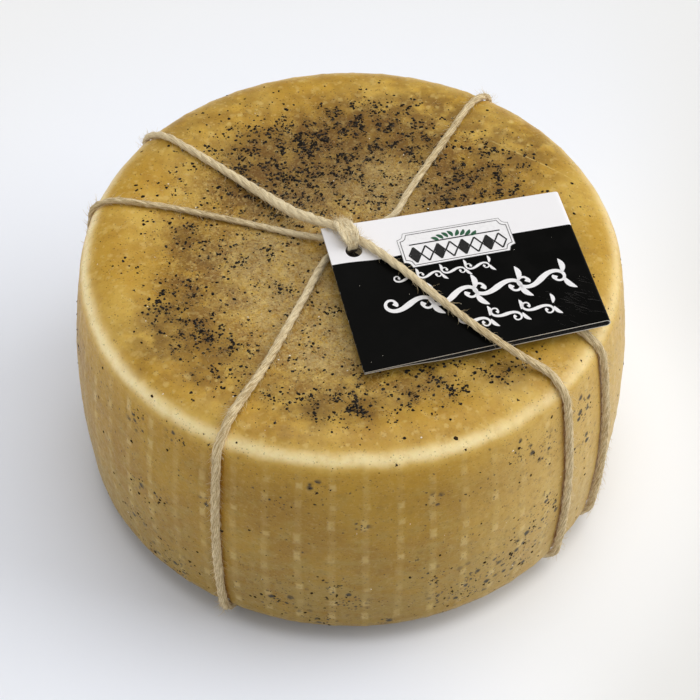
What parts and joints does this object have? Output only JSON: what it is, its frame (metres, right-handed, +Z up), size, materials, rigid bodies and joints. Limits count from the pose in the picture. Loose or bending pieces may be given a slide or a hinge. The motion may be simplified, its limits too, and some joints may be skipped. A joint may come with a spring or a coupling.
{
  "type": "whole hard cheese wheel bound with twine",
  "caption": "Whole round wheel of hard cheese with a basket-marked rind, bound crosswise with jute twine that ties on a folded card tag.",
  "frame": {"origin": "middle of the wheel's underside, on the surface that its foot ring stands on", "axes": "+Z up through the wheel's middle; the camera of the picture looks along +Y and down, with +X to its right; the tag lies towards +X"},
  "size_m": [0.1951, 0.1945, 0.1152],
  "materials": {
    "rind": "oiled, slightly glossy golden rind with dark mould spots",
    "jute": "dry twisted jute",
    "card": "black satin-coated card with worn white edges"
  },
  "bodies": {
    "root": {"cheese_wheel": "rind", "twine_long_wrap": "jute", "twine_cross_wrap": "jute", "knot": "jute", "tag": "card"}
  },
  "joints": []
}
